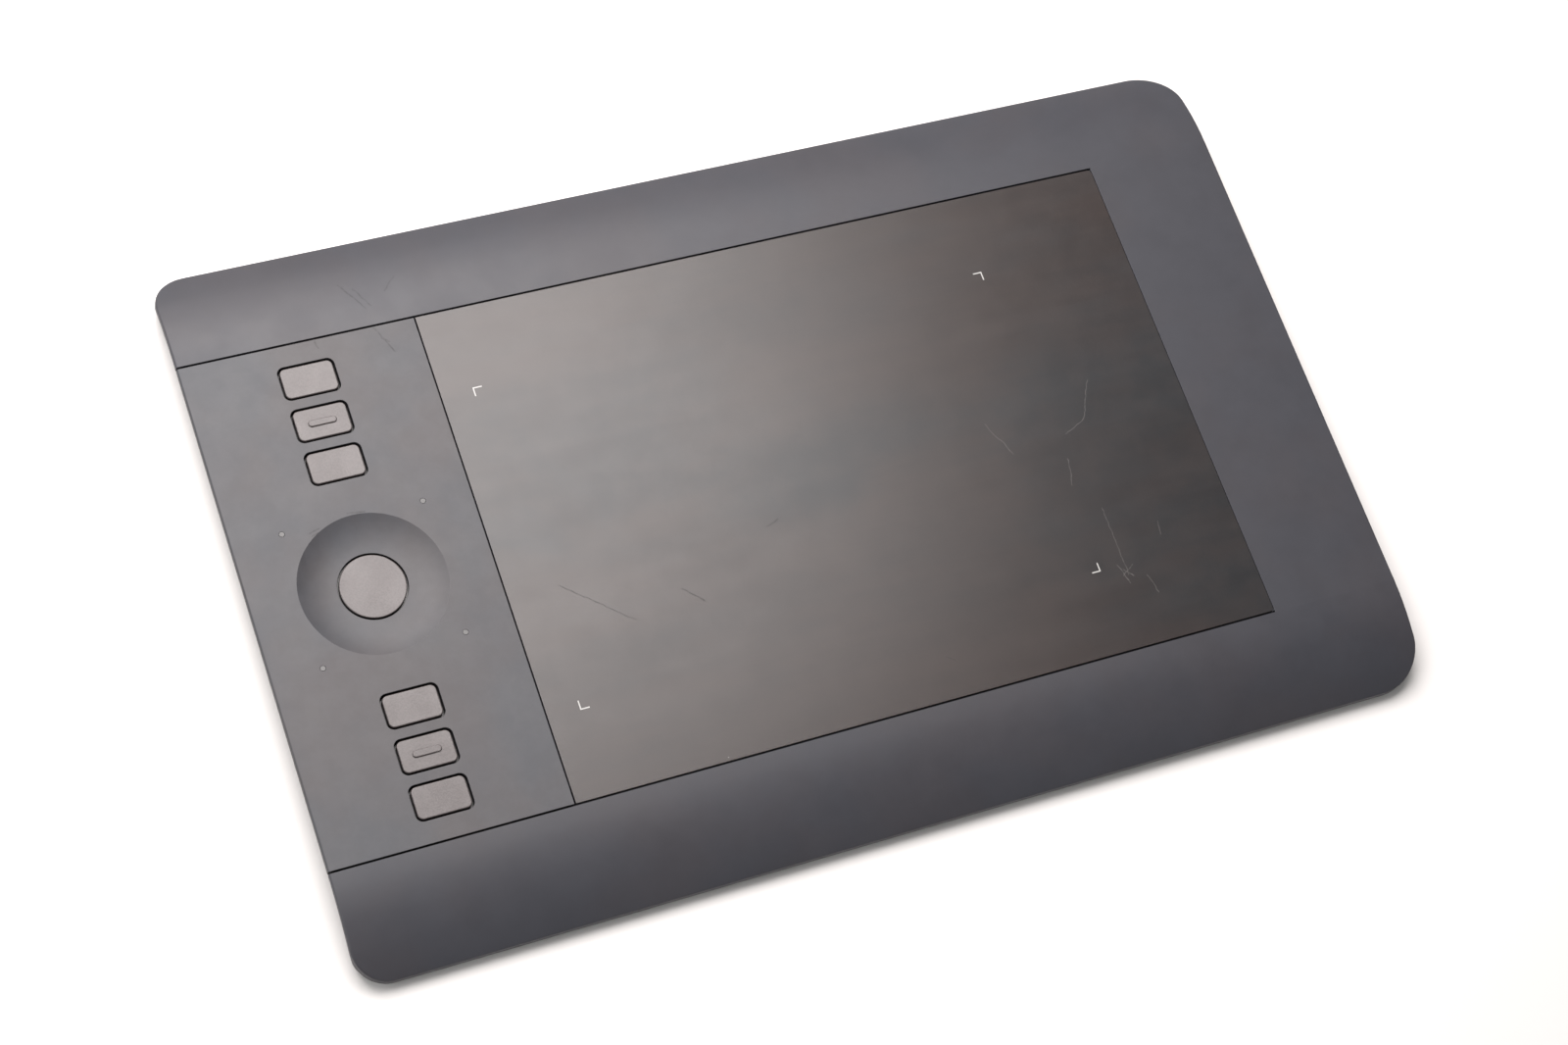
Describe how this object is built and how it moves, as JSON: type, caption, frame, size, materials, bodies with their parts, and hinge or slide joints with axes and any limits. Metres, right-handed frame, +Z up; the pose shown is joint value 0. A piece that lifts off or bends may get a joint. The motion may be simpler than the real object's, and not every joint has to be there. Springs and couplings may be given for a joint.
{
  "type": "pen drawing tablet",
  "caption": "Slim pen drawing tablet with a key and touch-ring panel at the left, a textured drawing surface, sloping front and rear bezels and covers underneath.",
  "frame": {"origin": "middle of the base, on the surface that the tablet lies on", "axes": "+X to the right, away from the keys; +Y to the rear; +Z up"},
  "size_m": [0.32, 0.208, 0.0124],
  "materials": {
    "case_plastic": "fine matte moulded plastic, charcoal",
    "base_plastic": "matte moulded plastic, near black",
    "panel_plastic": "fine matte moulded plastic, charcoal",
    "smoke_lens": "smoke-grey light pipe, unlit",
    "key_plastic": "satin moulded plastic, lighter charcoal",
    "surface_sheet": "finely textured drawing sheet",
    "white_lens": "milky light guide",
    "circuit_board": "green solder mask",
    "sensor_film": "amber polyimide film",
    "shield_steel": "thin rolled steel",
    "switch_metal": "stamped steel switch cases",
    "chip_epoxy": "black moulded epoxy",
    "connector_plastic": "ivory connector plastic",
    "flat_cable": "white flat flexible cable",
    "screw_steel": "blackened steel screws",
    "connector_steel": "bright plated sheet steel",
    "battery_wrap": "shrink-wrapped cell pack",
    "contact_block": "black contact block",
    "module_plastic": "black moulded module case",
    "foot_rubber": "soft dark rubber",
    "label_film": "blank grey foil label"
  },
  "bodies": {
    "tablet": {"battery_contacts": "contact_block", "battery_pack": "battery_wrap", "board_chips": "chip_epoxy", "board_screws": "screw_steel", "bottom_case": "base_plastic", "cable_connectors": "connector_plastic", "case_screws": "screw_steel", "corner_lights": "white_lens", "drawing_surface": "surface_sheet", "feet": "foot_rubber", "indicator_leds": "white_lens", "key_board": "circuit_board", "key_cable": "flat_cable", "key_panel": "panel_plastic", "key_switches": "switch_metal", "main_board": "circuit_board", "module_contacts": "contact_block", "power_switch": "switch_metal", "rating_label": "label_film", "receiver_body": "module_plastic", "receiver_plug": "connector_steel", "ring_lights": "smoke_lens", "ring_sensor_board": "circuit_board", "sensor_board": "circuit_board", "sensor_cable": "flat_cable", "shield_plate": "shield_steel", "top_case": "case_plastic", "touch_sensor_sheet": "sensor_film", "touch_switch_body": "switch_metal", "usb_shell": "connector_steel", "usb_tongue": "connector_plastic", "wireless_module": "module_plastic"},
    "key_1": {"key_1": "key_plastic"},
    "key_2": {"key_2": "key_plastic"},
    "key_3": {"key_3": "key_plastic"},
    "key_4": {"key_4": "key_plastic"},
    "key_5": {"key_5": "key_plastic"},
    "key_6": {"key_6": "key_plastic"},
    "ring_button": {"ring_button": "key_plastic"},
    "power_button": {"power_button": "key_plastic"},
    "touch_switch": {"touch_switch_knob": "key_plastic"},
    "battery_cover": {"battery_cover": "base_plastic"},
    "module_cover": {"module_cover": "base_plastic"}
  },
  "joints": [
    {"name": "key_1_press", "type": "slide", "parent": "tablet", "child": "key_1", "axis": [0, 0, -1], "range_m": [0, 0.0006], "stiffness_N_per_m": 2000},
    {"name": "key_2_press", "type": "slide", "parent": "tablet", "child": "key_2", "axis": [0, 0, -1], "range_m": [0, 0.0006], "stiffness_N_per_m": 2000},
    {"name": "key_3_press", "type": "slide", "parent": "tablet", "child": "key_3", "axis": [0, 0, -1], "range_m": [0, 0.0006], "stiffness_N_per_m": 2000},
    {"name": "key_4_press", "type": "slide", "parent": "tablet", "child": "key_4", "axis": [0, 0, -1], "range_m": [0, 0.0006], "stiffness_N_per_m": 2000},
    {"name": "key_5_press", "type": "slide", "parent": "tablet", "child": "key_5", "axis": [0, 0, -1], "range_m": [0, 0.0006], "stiffness_N_per_m": 2000},
    {"name": "key_6_press", "type": "slide", "parent": "tablet", "child": "key_6", "axis": [0, 0, -1], "range_m": [0, 0.0006], "stiffness_N_per_m": 2000},
    {"name": "ring_button_press", "type": "slide", "parent": "tablet", "child": "ring_button", "axis": [0, 0, -1], "range_m": [0, 0.0005], "stiffness_N_per_m": 2500},
    {"name": "power_button_press", "type": "slide", "parent": "tablet", "child": "power_button", "axis": [1, 0, 0], "range_m": [0, 0.0004], "stiffness_N_per_m": 3000},
    {"name": "touch_switch_slide", "type": "slide", "parent": "tablet", "child": "touch_switch", "axis": [0, -1, 0], "range_m": [0, 0.002]},
    {"name": "battery_cover_lift", "type": "slide", "parent": "tablet", "child": "battery_cover", "axis": [0, 0, -1], "range_m": [0, 0.015]},
    {"name": "module_cover_lift", "type": "slide", "parent": "tablet", "child": "module_cover", "axis": [0, 0, -1], "range_m": [0, 0.015]}
  ]
}
